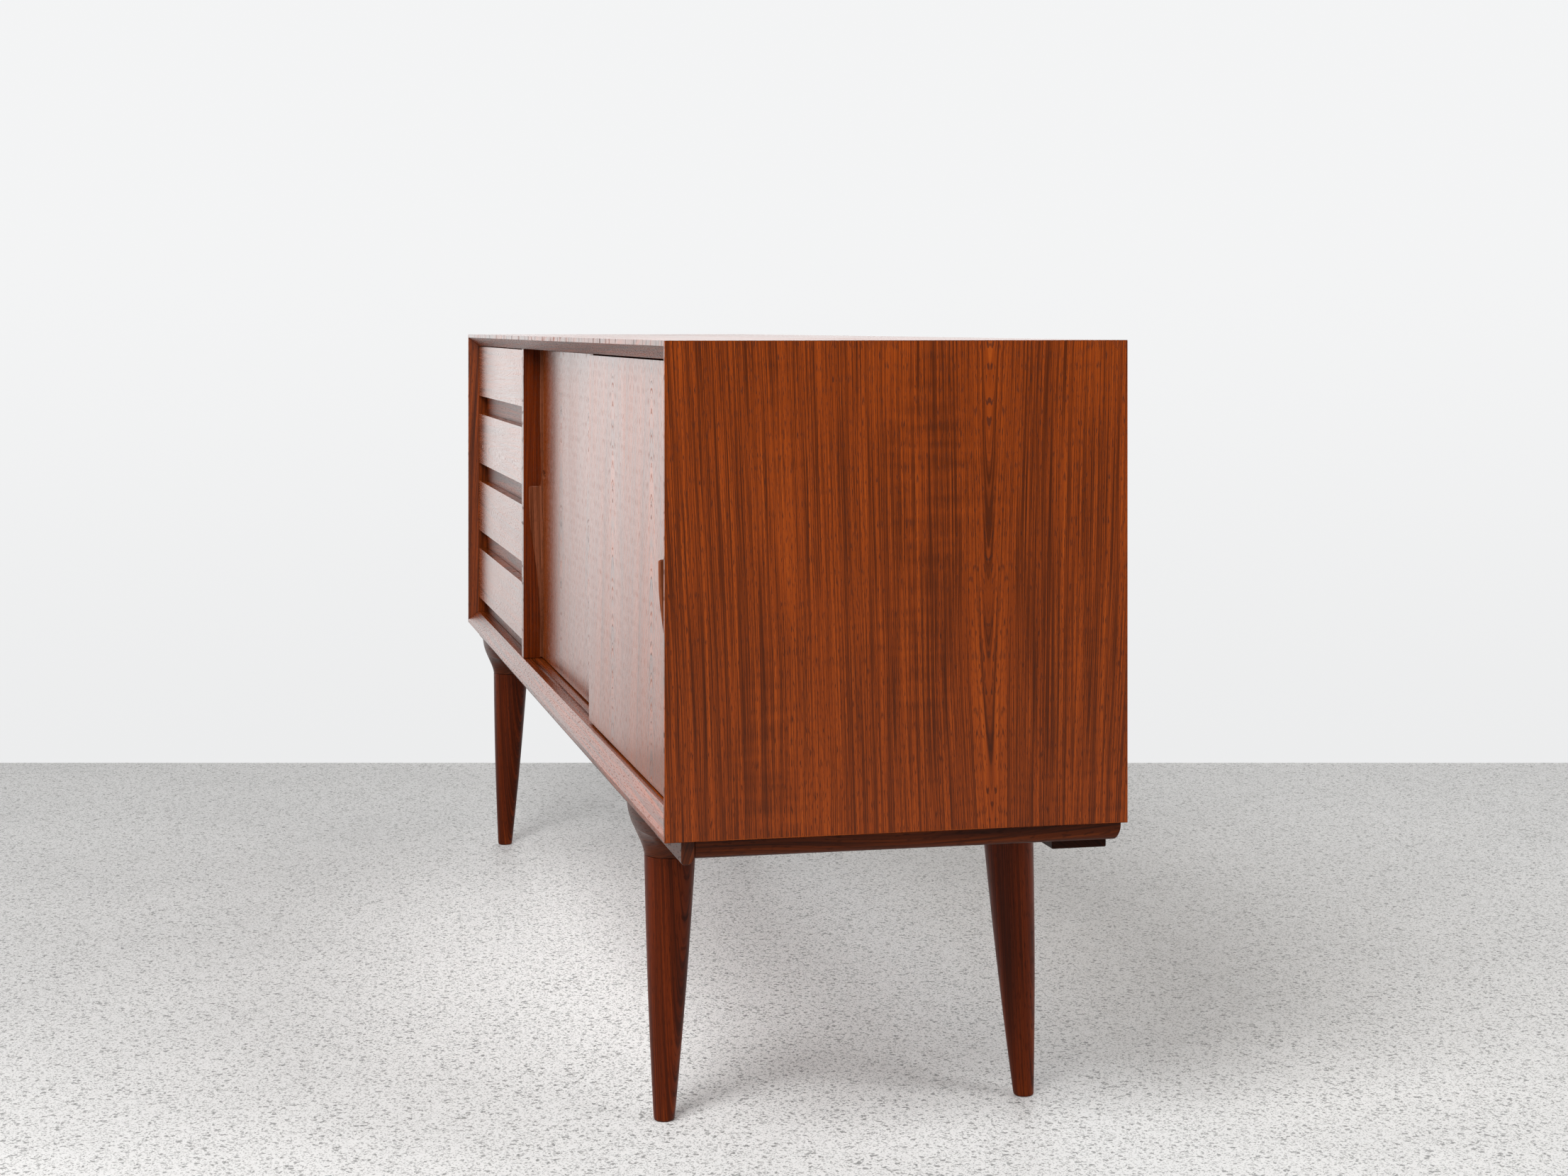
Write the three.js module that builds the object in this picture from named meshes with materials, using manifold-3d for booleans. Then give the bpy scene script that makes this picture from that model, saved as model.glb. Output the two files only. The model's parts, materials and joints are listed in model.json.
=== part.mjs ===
// Long low sideboard: a mitred carcase with four drawers and two sliding doors, on a frame with
// turned splayed legs. Millimetres, +Z up, front facing -Y, drawers on the -X side.
// The origin is on the floor, under the middle of the whole object.
import * as THREE from 'three';
import { mergeVertices } from 'three/addons/utils/BufferGeometryUtils.js';
import Module from 'manifold-3d';

const wasm = await Module();
wasm.setup();

// ---- driving dimensions ------------------------------------------------------------------------
const LENGTH = 1800;
const DEPTH = 450;
const HEIGHT = 780;
const CARCASE_HEIGHT = 462;
const BOARD = 18; // carcase panels
const GAP = 0.3; // between pieces that touch
const MITRE_SLIP = 0.22; // each mitre face moved along its panel, half the gap between the two
const HANDLE_PROUD = 2; // how far the front door's handle stands in front of the carcase

const LEFT = -LENGTH / 2;
const RIGHT = LENGTH / 2;
const FRONT = HANDLE_PROUD / 2 - DEPTH / 2; // front arris of the carcase
const BACK = FRONT + DEPTH;
const TOP = HEIGHT;
const BASE_TOP = HEIGHT - CARCASE_HEIGHT; // underside of the carcase
const FLOOR_TOP = BASE_TOP + BOARD; // upper face of the bottom panel
const CEILING = TOP - BOARD; // lower face of the top panel

// front edges: a narrow flat, then a bevel that runs back and inwards
const EDGE_FLAT = 5;
const EDGE_SETBACK = 15;
const INNER_FRONT = FRONT + EDGE_SETBACK; // plane of the inner arris

// back panel in its rebate
const REBATE_DEPTH = 8;
const REBATE_WIDTH = 8;
const BACK_PANEL = 6;

// upright panels inside
const DIVIDER = 20;
const DIVIDER_LEFT = LEFT + 590;
const DIVIDER_RIGHT = DIVIDER_LEFT + DIVIDER;
const PARTITION = 18;
const PARTITION_FRONT = FRONT + 60;
const SHELF = 16;
const SHELF_LEVEL = FLOOR_TOP + 205;
const SHELF_HOUSING = 6; // depth of the grooves that hold the shelves
const SHELF_FRONT = FRONT + 75;

// drawers
const DRAWERS = 4;
const DRAWER_PITCH = 107.3;
const DRAWER_FRONT_HEIGHT = 79.2;
const DRAWER_FRONT = 13; // thickness
const DRAWER_SETBACK = 0.5; // drawer fronts behind the inner arris of the carcase
const DRAWER_TOP_CLEARANCE = 1.2;
const DRAWER_SIDE_CLEARANCE = 1;
const DRAWER_SIDE = 12;
const DRAWER_BACK = 12;
const DRAWER_BACK_DROP = 4; // the back's upper edge below that of the sides
const DRAWER_BOTTOM = 4;
const DRAWER_BOX_LENGTH = 390;
const DRAWER_BOX_INSET = 4.5; // box lower and upper edges inside those of the front
const DRAWER_RUN_CLEARANCE = 2.5; // between a drawer side and the carcase
const BOTTOM_GROOVE_DEPTH = 4;
const BOTTOM_LIFT = 8; // drawer bottom above the lower edge of the sides
const RUNNER_RISE = 6; // runners above the middle of the drawer sides
const RUNNER = { out: 8.2, high: 12, length: 380, start: 14 };
const RUNNER_GROOVE = { deep: 6.4, high: 12.8, start: 6 };
const RAIL_DEPTH = 20;
const RAIL_LAP = 2; // how far a drawer front laps over the rail behind it

// sliding doors
const DOOR_THICKNESS = 14;
const DOOR_WIDTH = 591;
const FRONT_DOOR_FACE = FRONT + 20;
const REAR_DOOR_FACE = FRONT + 40;
const DOOR_END_CLEARANCE = 1;
const DOOR_TOP_GAP = 2;
const DOOR_BOTTOM_GAP = 1.5;
const TONGUE = { thick: 4.6, down: 3, up: 7 };
const TRACK = { wide: 5.6, deepBelow: 4, deepAbove: 10 };
const STILE = 21; // solid strip on the handle side of a door

// handles, sculpted out of the stile: a lip along the door's outer edge, above it a hollow
const LEFT_HANDLE = { top: TOP - 206.6, out: 18.5 };
const RIGHT_HANDLE = { top: TOP - 203, out: 22 };
const HANDLE_LENGTH = 212;
const STILE_PROUD = 2.6; // outer arris of the plain stile in front of the panel
const STRIP_PROUD = 0.3; // flat of the stile beside the panel
const LIP_ARRIS = 3.2; // rounding of the lip over the door's outer edge
const SCOOP = { rise: 9.5, high: 13, deep: 4.5, reach: 42 }; // hollow in the panel above the lip
// how far the arris stands out at heights above the lip's flat top
const ABOVE_LIP = [[0.4, 3.4], [3, 1.8], [8, 0.7], [21, 0.7], [45, 1.7], [84, STILE_PROUD]];

// base frame
const FRAME_INSET_END = 8;
const FRONT_RAIL = { front: FRONT + 17, thick: 13, high: 22.5, outerRound: 3.5, innerRound: 7.5 };
const SIDE_RAIL = { thick: 13, high: 17.5, outerRound: 6, innerRound: 1.5, backInset: 4 };
const SIDE_RAIL_END = { long: 5.7, high: 12 }; // rounding of its lower back corner, seen from the side
const REAR_RAIL = { front: FRONT + 381, wide: 55, high: 26.5 };

// legs and the shoulders that carry them
const SEAM = BASE_TOP - 54; // joint between leg and shoulder
const LEG_TOP_RADIUS = 25.8;
const LEG_FOOT_RADIUS = 10.5;
const FOOT_EDGE_RADIUS = 1.5;
const FOOT_FROM_END = 204.6;
const LEG_SPLAY_X = 9.4;
const FRONT_FOOT = { footY: FRONT + 36, splay: 7.5 };
const REAR_FOOT = { footY: FRONT + 412.5, splay: -13.4 };
const LEG_FULLNESS = 1.2; // the taper swells a little past a straight cone
const SPIGOT = { radius: 11, high: 20 }; // turned pin on top of the leg
const SOCKET_OVERRUN = 5; // the socket's cut starts this far below the seam
const FRONT_SHOULDER = { halfWidth: 82, front: FRONT + 2, back: FRONT + 68 };
const REAR_SHOULDER = { halfWidth: 62, front: FRONT + 366, back: FRONT + 434 };
const COVE_BELOW_RAIL = 2; // the coves of the front shoulders end below the front rail

// ---- materials ---------------------------------------------------------------------------------
const wood = (color, roughness) => new THREE.MeshStandardMaterial({ color, roughness, metalness: 0 });
const TEAK_VENEER = wood(0x8a4322, 0.38);
const TEAK_SOLID = wood(0x7a3a20, 0.42);
const TEAK_DARK = wood(0x5c2a1a, 0.45);
const BEECH = wood(0xc69a6a, 0.6);
const PLYWOOD = wood(0xb98a5c, 0.65);

// ---- solids ------------------------------------------------------------------------------------
function toSolid(geometry) {
  geometry.deleteAttribute('normal');
  geometry.deleteAttribute('uv');
  const merged = mergeVertices(geometry, 1e-4);
  return new wasm.Manifold(new wasm.Mesh({
    numProp: 3,
    vertProperties: new Float32Array(merged.attributes.position.array),
    triVerts: new Uint32Array(merged.index.array),
  }));
}

function toGeometry(solid) {
  const mesh = solid.getMesh();
  const geometry = new THREE.BufferGeometry();
  geometry.setAttribute('position', new THREE.BufferAttribute(mesh.vertProperties, 3));
  geometry.setIndex(new THREE.BufferAttribute(mesh.triVerts, 1));
  geometry.computeVertexNormals();
  return geometry;
}

// a block between two opposite corners, in either order
function block([x0, y0, z0], [x1, y1, z1]) {
  const geometry = new THREE.BoxGeometry(Math.abs(x1 - x0), Math.abs(y1 - y0), Math.abs(z1 - z0));
  geometry.translate((x0 + x1) / 2, (y0 + y1) / 2, (z0 + z1) / 2);
  return toSolid(geometry);
}

// An outline swept along an axis. Its points are (y, z) along x, (z, x) along y and (x, y) along z.
const X = new THREE.Vector3(1, 0, 0);
const Y = new THREE.Vector3(0, 1, 0);
const Z = new THREE.Vector3(0, 0, 1);
const SWEEP = {
  x: new THREE.Matrix4().makeBasis(Y, Z, X),
  y: new THREE.Matrix4().makeBasis(Z, X, Y),
  z: new THREE.Matrix4(),
};

function prism(outline, axis, from, to) {
  const shape = new THREE.Shape(outline.map(([a, b]) => new THREE.Vector2(a, b)));
  const geometry = new THREE.ExtrudeGeometry(shape, { depth: to - from, bevelEnabled: false });
  geometry.translate(0, 0, from);
  geometry.applyMatrix4(SWEEP[axis]);
  return toSolid(geometry);
}

// rings of equal length, counter-clockwise seen from above, stacked from the lowest up
function loft(rings) {
  const count = rings[0].length;
  const points = rings.flat();
  const faces = [];
  for (let level = 0; level + 1 < rings.length; level += 1) {
    for (let i = 0; i < count; i += 1) {
      const low = level * count + i;
      const lowNext = level * count + ((i + 1) % count);
      faces.push(low, lowNext, lowNext + count, low, lowNext + count, low + count);
    }
  }
  const cap = (ring) => THREE.ShapeUtils.triangulateShape(ring.map((p) => new THREE.Vector2(p.x, p.y)), []);
  const lastRing = (rings.length - 1) * count;
  for (const [a, b, c] of cap(rings[0])) faces.push(a, c, b);
  for (const [a, b, c] of cap(rings.at(-1))) faces.push(lastRing + a, lastRing + b, lastRing + c);
  const geometry = new THREE.BufferGeometry().setFromPoints(points);
  geometry.setIndex(faces);
  return toSolid(geometry);
}

const object = new THREE.Group();

function place(name, solid, material) {
  const mesh = new THREE.Mesh(toGeometry(solid), material.clone());
  mesh.name = name;
  object.add(mesh);
}

// ---- carcase: four mitred panels ---------------------------------------------------------------
// "out" is the distance from a panel's outer face towards the inside of the carcase.
const PANEL_SECTION = [
  [FRONT, 0],
  [BACK, 0],
  [BACK, BOARD - REBATE_DEPTH],
  [BACK - REBATE_WIDTH, BOARD - REBATE_DEPTH],
  [BACK - REBATE_WIDTH, BOARD],
  [INNER_FRONT, BOARD],
  [FRONT, EDGE_FLAT],
];

function lyingPanel(outerZ, inward, grooves) {
  const innerZ = outerZ + inward * BOARD;
  const long = prism(PANEL_SECTION.map(([y, out]) => [y, outerZ + inward * out]), 'x', LEFT, RIGHT);
  const mitred = prism([
    [outerZ, LEFT + MITRE_SLIP],
    [outerZ, RIGHT - MITRE_SLIP],
    [innerZ, RIGHT - MITRE_SLIP - BOARD],
    [innerZ, LEFT + MITRE_SLIP + BOARD],
  ], 'y', FRONT - 1, BACK + 1);
  let solid = long.intersect(mitred);
  for (const { middle, deep } of grooves) {
    solid = solid.subtract(block(
      [DIVIDER_RIGHT, middle - TRACK.wide / 2, innerZ + inward],
      [RIGHT - BOARD - GAP, middle + TRACK.wide / 2, innerZ - inward * deep],
    ));
  }
  return solid;
}

function standingPanel(outerX, inward) {
  const innerX = outerX + inward * BOARD;
  const long = prism(PANEL_SECTION.map(([y, out]) => [outerX + inward * out, y]), 'z', BASE_TOP, TOP);
  const mitred = prism([
    [BASE_TOP + MITRE_SLIP, outerX],
    [TOP - MITRE_SLIP, outerX],
    [TOP - MITRE_SLIP - BOARD, innerX],
    [BASE_TOP + MITRE_SLIP + BOARD, innerX],
  ], 'y', FRONT - 1, BACK + 1);
  return long.intersect(mitred);
}

const tracks = [FRONT_DOOR_FACE, REAR_DOOR_FACE].map((face) => face + DOOR_THICKNESS / 2);
const below = tracks.map((middle) => ({ middle, deep: TRACK.deepBelow }));
const above = tracks.map((middle) => ({ middle, deep: TRACK.deepAbove }));
place('top_panel', lyingPanel(TOP, -1, above), TEAK_VENEER);
place('bottom_panel', lyingPanel(BASE_TOP, 1, below), TEAK_VENEER);

// grooves that house the shelves in the uprights
const SHELF_BACK = BACK - REBATE_WIDTH - GAP;
function shelfGroove(x0, x1) {
  return block([x0, SHELF_FRONT - GAP, SHELF_LEVEL - GAP], [x1, SHELF_BACK + 1, SHELF_LEVEL + SHELF + GAP]);
}
const inLeft = LEFT + BOARD;
const inRight = RIGHT - BOARD;
const PARTITION_LEFT = (DIVIDER_RIGHT + inRight - PARTITION) / 2;
const PARTITION_RIGHT = PARTITION_LEFT + PARTITION;

place('left_gable', standingPanel(LEFT, 1), TEAK_VENEER);
place('right_gable', standingPanel(RIGHT, -1)
  .subtract(shelfGroove(inRight - 1, inRight + SHELF_HOUSING)), TEAK_VENEER);
place('divider', block(
  [DIVIDER_LEFT, INNER_FRONT, FLOOR_TOP + GAP],
  [DIVIDER_RIGHT, SHELF_BACK, CEILING - GAP],
).subtract(shelfGroove(DIVIDER_RIGHT - SHELF_HOUSING, DIVIDER_RIGHT + 1)), TEAK_VENEER);
place('partition', block(
  [PARTITION_LEFT, PARTITION_FRONT, FLOOR_TOP + GAP],
  [PARTITION_RIGHT, SHELF_BACK, CEILING - GAP],
).subtract(shelfGroove(PARTITION_LEFT - 1, PARTITION_LEFT + SHELF_HOUSING))
  .subtract(shelfGroove(PARTITION_RIGHT - SHELF_HOUSING, PARTITION_RIGHT + 1)), TEAK_VENEER);

function shelf(fromX, toX) {
  const ends = SHELF_HOUSING - GAP;
  return block([fromX - ends, SHELF_FRONT, SHELF_LEVEL], [toX + ends, SHELF_BACK, SHELF_LEVEL + SHELF]);
}
place('left_shelf', shelf(DIVIDER_RIGHT, PARTITION_LEFT), TEAK_VENEER);
place('right_shelf', shelf(PARTITION_RIGHT, inRight), TEAK_VENEER);

const backReach = BOARD - REBATE_DEPTH + GAP;
place('back_panel', block(
  [LEFT + backReach, BACK - REBATE_WIDTH + GAP, BASE_TOP + backReach],
  [RIGHT - backReach, BACK - REBATE_WIDTH + GAP + BACK_PANEL, TOP - backReach],
), PLYWOOD);

// ---- drawers -----------------------------------------------------------------------------------
const DRAWER_FACE = INNER_FRONT + DRAWER_SETBACK;
const DRAWER_LEFT = inLeft + DRAWER_SIDE_CLEARANCE;
const DRAWER_RIGHT = DIVIDER_LEFT - DRAWER_SIDE_CLEARANCE;
const BOX_FRONT = DRAWER_FACE + DRAWER_FRONT + GAP;
const BOX_BACK = BOX_FRONT + DRAWER_BOX_LENGTH;

function drawer(number) {
  const top = CEILING - DRAWER_TOP_CLEARANCE - (number - 1) * DRAWER_PITCH;
  const bottom = top - DRAWER_FRONT_HEIGHT;
  const boxTop = top - DRAWER_BOX_INSET;
  const boxBottom = bottom + DRAWER_BOX_INSET;
  const plyBottom = boxBottom + BOTTOM_LIFT;
  const plyTop = plyBottom + DRAWER_BOTTOM;
  const grooveMiddle = (boxTop + boxBottom) / 2 + RUNNER_RISE;
  const name = `drawer_${number}`;

  const sideOuter = { left: inLeft + DRAWER_RUN_CLEARANCE, right: DIVIDER_LEFT - DRAWER_RUN_CLEARANCE };
  const sideInner = { left: sideOuter.left + DRAWER_SIDE, right: sideOuter.right - DRAWER_SIDE };
  const bottomGroove = block(
    [sideInner.left - BOTTOM_GROOVE_DEPTH - GAP, BOX_FRONT - BOTTOM_GROOVE_DEPTH - GAP, plyBottom - GAP],
    [sideInner.right + BOTTOM_GROOVE_DEPTH + GAP, BOX_BACK + 1, plyTop + GAP],
  );

  place(`${name}_front`, block(
    [DRAWER_LEFT, DRAWER_FACE, bottom],
    [DRAWER_RIGHT, DRAWER_FACE + DRAWER_FRONT, top],
  ).subtract(bottomGroove), TEAK_VENEER);
  for (const [side, inward] of [['left', 1], ['right', -1]]) {
    const outer = sideOuter[side];
    const board = block([outer, BOX_FRONT, boxBottom], [sideInner[side], BOX_BACK, boxTop]);
    const halfSlot = RUNNER_GROOVE.high / 2;
    const slot = block(
      [outer - inward, BOX_FRONT + RUNNER_GROOVE.start, grooveMiddle - halfSlot],
      [outer + inward * RUNNER_GROOVE.deep, BOX_BACK + 1, grooveMiddle + halfSlot],
    );
    place(`${name}_${side}_side`, board.subtract(slot).subtract(bottomGroove), BEECH);

    const wall = side === 'left' ? inLeft : DIVIDER_LEFT;
    const start = BOX_FRONT + RUNNER.start;
    place(`runner_${number}_${side}`, block(
      [wall + inward * GAP, start, grooveMiddle - RUNNER.high / 2],
      [wall + inward * RUNNER.out, start + RUNNER.length, grooveMiddle + RUNNER.high / 2],
    ), BEECH);
  }
  place(`${name}_back`, block(
    [sideInner.left + GAP, BOX_BACK - DRAWER_BACK, plyTop + GAP],
    [sideInner.right - GAP, BOX_BACK, boxTop - DRAWER_BACK_DROP],
  ), BEECH);
  place(`${name}_bottom`, block(
    [sideInner.left - BOTTOM_GROOVE_DEPTH, BOX_FRONT - BOTTOM_GROOVE_DEPTH, plyBottom],
    [sideInner.right + BOTTOM_GROOVE_DEPTH, BOX_BACK, plyTop],
  ), PLYWOOD);

  // the fixed rail in the finger gap under this drawer
  const isLowest = number === DRAWERS;
  const railTop = bottom + RAIL_LAP;
  const railBottom = isLowest ? FLOOR_TOP + GAP : top - DRAWER_PITCH - RAIL_LAP;
  place(`drawer_rail_${number}`, block(
    [inLeft + GAP, BOX_FRONT, railBottom],
    [DIVIDER_LEFT - GAP, BOX_FRONT + RAIL_DEPTH, railTop],
  ), TEAK_SOLID);
}

for (let number = 1; number <= DRAWERS; number += 1) drawer(number);

// ---- sliding doors -----------------------------------------------------------------------------
const DOOR_TOP = CEILING - DOOR_TOP_GAP;
const DOOR_BOTTOM = FLOOR_TOP + DOOR_BOTTOM_GAP;

// a board of the door with the tongues that run in the tracks
function doorBoard(x0, x1, face) {
  const middle = face + DOOR_THICKNESS / 2;
  const body = block([x0, face, DOOR_BOTTOM], [x1, face + DOOR_THICKNESS, DOOR_TOP]);
  const tongue = block(
    [x0, middle - TONGUE.thick / 2, FLOOR_TOP - TONGUE.down],
    [x1, middle + TONGUE.thick / 2, CEILING + TONGUE.up],
  );
  return body.add(tongue);
}

// how far the lip stands out, as a share of the most, from its flat top (0) to its lower tip (1)
const lipCurve = new THREE.CatmullRomCurve3([
  new THREE.Vector3(0, 1, 0),
  new THREE.Vector3(0.16, 0.96, 0),
  new THREE.Vector3(0.33, 0.76, 0),
  new THREE.Vector3(0.5, 0.47, 0),
  new THREE.Vector3(0.66, 0.27, 0),
  new THREE.Vector3(1, 0, 0),
]);

// A section of the stile: s runs from the door's outer edge, d stands out from its face.
// The lip is a blade along the outer edge. A hollow flank joins it to the flat beside the panel.
function stileSection(proud) {
  const arris = Math.min(LIP_ARRIS, proud * 0.6);
  const flank = new THREE.QuadraticBezierCurve(
    new THREE.Vector2(8 + proud * 0.3, STRIP_PROUD),
    new THREE.Vector2(3 + proud * 0.1, STRIP_PROUD + proud * 0.05),
    new THREE.Vector2(arris, proud),
  );
  return [
    [0, -DOOR_THICKNESS],
    [STILE - GAP, -DOOR_THICKNESS],
    [STILE - GAP, STRIP_PROUD],
    ...flank.getPoints(6).map((p) => [p.x, p.y]),
    [arris * 0.3, proud - arris * 0.3],
    [0, proud - arris],
  ];
}

function stile(edgeX, inward, face, handle) {
  const levels = [[DOOR_BOTTOM, STILE_PROUD]];
  const steps = 12;
  for (let i = 0; i <= steps; i += 1) {
    const t = 1 - i / steps;
    levels.push([handle.top - t * HANDLE_LENGTH, Math.max(STILE_PROUD, lipCurve.getPoint(t).y * handle.out)]);
  }
  for (const [rise, proud] of ABOVE_LIP) levels.push([handle.top + rise, proud]);
  levels.push([DOOR_TOP, STILE_PROUD]);
  const rings = levels.map(([z, proud]) => {
    const ring = stileSection(proud).map(([s, d]) => new THREE.Vector3(edgeX + inward * s, face - d, z));
    return inward > 0 ? ring.reverse() : ring;
  });
  const middle = face + DOOR_THICKNESS / 2;
  const tongue = block(
    [edgeX, middle - TONGUE.thick / 2, FLOOR_TOP - TONGUE.down],
    [edgeX + inward * (STILE - GAP), middle + TONGUE.thick / 2, CEILING + TONGUE.up],
  );
  return loft(rings).add(tongue);
}

// shallow hollow in the panel, just above the lip
function scoop(edgeX, inward, face, handle) {
  const low = handle.top + SCOOP.rise;
  return block(
    [edgeX + inward * (STILE - 1), face - 1, low],
    [edgeX + inward * SCOOP.reach, face + SCOOP.deep, low + SCOOP.high],
  );
}

function door(name, handleEdge, inward, face, handle) {
  const x = [handleEdge + inward * STILE, handleEdge + inward * DOOR_WIDTH].sort((a, b) => a - b);
  const panel = doorBoard(x[0], x[1], face).subtract(scoop(handleEdge, inward, face, handle));
  place(`${name}_panel`, panel, TEAK_VENEER);
  place(`${name}_handle`, stile(handleEdge, inward, face, handle), TEAK_SOLID);
}
door('left_door', DIVIDER_RIGHT + DOOR_END_CLEARANCE, 1, REAR_DOOR_FACE, LEFT_HANDLE);
door('right_door', inRight - DOOR_END_CLEARANCE, -1, FRONT_DOOR_FACE, RIGHT_HANDLE);

// ---- base frame --------------------------------------------------------------------------------
const FRAME_LEFT = LEFT + FRAME_INSET_END;
const FRAME_RIGHT = RIGHT - FRAME_INSET_END;
const FRAME_TOP = BASE_TOP - GAP;

const ROUND_STEPS = 5;

// a quarter of an ellipse about a centre, from its lowest point out to the side given by the sign of a
function quarter([centreA, centreB], a, b) {
  return Array.from({ length: ROUND_STEPS + 1 }, (_, i) => {
    const angle = (i / ROUND_STEPS) * (Math.PI / 2);
    return [centreA + a * Math.sin(angle), centreB - b * Math.cos(angle)];
  });
}

// a rail section with its two lower edges rounded; "out" is measured from the outer face inwards
function railSection({ thick, high, outerRound, innerRound }) {
  const outer = quarter([outerRound, outerRound - high], -outerRound, outerRound);
  const inner = quarter([thick - innerRound, innerRound - high], innerRound, innerRound);
  return [[0, 0], ...outer.reverse(), ...inner, [thick, 0]];
}

const frontSection = railSection(FRONT_RAIL).map(([out, z]) => [FRONT_RAIL.front + out, FRAME_TOP + z]);
place('front_rail', prism(frontSection, 'x', FRAME_LEFT, FRAME_RIGHT), TEAK_DARK);

const sideFront = FRONT_RAIL.front + FRONT_RAIL.thick + GAP;
const sideBack = BACK - SIDE_RAIL.backInset;
const sideLow = FRAME_TOP - SIDE_RAIL.high;
const sideCornerCentre = [sideBack - SIDE_RAIL_END.long, sideLow + SIDE_RAIL_END.high];
const sideBackCorner = quarter(sideCornerCentre, SIDE_RAIL_END.long, SIDE_RAIL_END.high);
const sideOutline = prism([
  [sideFront, FRAME_TOP],
  [sideFront, sideLow],
  ...sideBackCorner,
  [sideBack, FRAME_TOP],
], 'x', LEFT, RIGHT);
for (const [name, outer, inward] of [['left', FRAME_LEFT, 1], ['right', FRAME_RIGHT, -1]]) {
  const section = railSection(SIDE_RAIL).map(([out, z]) => [FRAME_TOP + z, outer + inward * out]);
  place(`${name}_side_rail`, prism(section, 'y', sideFront, sideBack).intersect(sideOutline), TEAK_DARK);
}

const rearEnd = FRAME_RIGHT - SIDE_RAIL.thick - GAP;
place('rear_rail', block(
  [-rearEnd, REAR_RAIL.front, FRAME_TOP - REAR_RAIL.high],
  [rearEnd, REAR_RAIL.front + REAR_RAIL.wide, FRAME_TOP],
), TEAK_DARK);

// ---- shoulders and legs ------------------------------------------------------------------------
const RING = 28; // points round a leg or a shoulder
const COVE_STEPS = 7;

function ellipseRing(cx, cy, a, b, z) {
  return Array.from({ length: RING }, (_, i) => {
    const angle = (i / RING) * 2 * Math.PI;
    return new THREE.Vector3(cx + a * Math.cos(angle), cy + b * Math.sin(angle), z);
  });
}

// The shoulder grows from the leg's round top into a wide block under the carcase: its ends are
// hollowed like a cove, and its front leans out in a soft S.
function shoulder(cx, legY, shape, coveTop, top) {
  const legFront = legY - LEG_TOP_RADIUS;
  const legBack = legY + LEG_TOP_RADIUS;
  const levels = Array.from({ length: COVE_STEPS + 1 }, (_, i) => {
    const angle = (i / COVE_STEPS) * (Math.PI / 2);
    return [SEAM + Math.sin(angle) * (coveTop - SEAM), 1 - Math.cos(angle)];
  });
  if (top > coveTop) levels.push([(coveTop + top) / 2, 1], [top, 1]);
  return loft(levels.map(([z, flare]) => {
    const height = (z - SEAM) / (top - SEAM);
    const lean = 0.5 - 0.5 * Math.cos(Math.PI * height ** 0.8);
    const front = legFront + (shape.front - legFront) * lean;
    const back = legBack + (shape.back - legBack) * lean;
    const halfWidth = LEG_TOP_RADIUS + (shape.halfWidth - LEG_TOP_RADIUS) * flare;
    return ellipseRing(cx, (front + back) / 2, halfWidth, (back - front) / 2, z);
  }));
}

// A turned piece on a leaning axis: every section stays level, so foot and seam are flat.
function turned(profile, foot, top) {
  const geometry = new THREE.LatheGeometry(profile.map(([r, z]) => new THREE.Vector2(r, z)), RING);
  geometry.rotateX(Math.PI / 2);
  const lean = new THREE.Matrix4().set(
    1, 0, (top.x - foot.x) / SEAM, foot.x,
    0, 1, (top.y - foot.y) / SEAM, foot.y,
    0, 0, 1, 0,
    0, 0, 0, 1,
  );
  geometry.applyMatrix4(lean);
  return toSolid(geometry);
}

function legProfile() {
  const height = SEAM - GAP;
  const profile = [[0, 0]];
  for (let i = 0; i <= 3; i += 1) {
    const angle = (i / 3) * (Math.PI / 2);
    profile.push([
      LEG_FOOT_RADIUS - FOOT_EDGE_RADIUS * (1 - Math.sin(angle)),
      FOOT_EDGE_RADIUS * (1 - Math.cos(angle)),
    ]);
  }
  for (const t of [0.25, 0.5, 0.75, 1]) {
    const fullness = LEG_FULLNESS * Math.sin(Math.PI * t);
    profile.push([LEG_FOOT_RADIUS + (LEG_TOP_RADIUS - LEG_FOOT_RADIUS) * t + fullness, height * t]);
  }
  profile.push([SPIGOT.radius, height], [SPIGOT.radius, height + SPIGOT.high], [0, height + SPIGOT.high]);
  return profile;
}

const SOCKET_PROFILE = [
  [0, SEAM - SOCKET_OVERRUN],
  [SPIGOT.radius + GAP, SEAM - SOCKET_OVERRUN],
  [SPIGOT.radius + GAP, SEAM + SPIGOT.high],
  [0, SEAM + SPIGOT.high],
];
const frontRailHousing = block(
  [FRAME_LEFT, FRONT_RAIL.front - GAP, FRAME_TOP - FRONT_RAIL.high - GAP],
  [FRAME_RIGHT, FRONT_RAIL.front + FRONT_RAIL.thick + GAP, BASE_TOP],
);

function legAndShoulder(name, side, end) {
  const foot = { x: side * (RIGHT - FOOT_FROM_END), y: end.footY };
  const top = { x: foot.x - side * LEG_SPLAY_X, y: end.footY + end.splay };
  const body = shoulder(top.x, top.y, end.shoulder, end.coveTop, end.top)
    .subtract(frontRailHousing)
    .subtract(turned(SOCKET_PROFILE, foot, top));
  place(`${name}_shoulder`, body, TEAK_DARK);
  place(`${name}_leg`, turned(legProfile(), foot, top), TEAK_SOLID);
}

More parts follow.
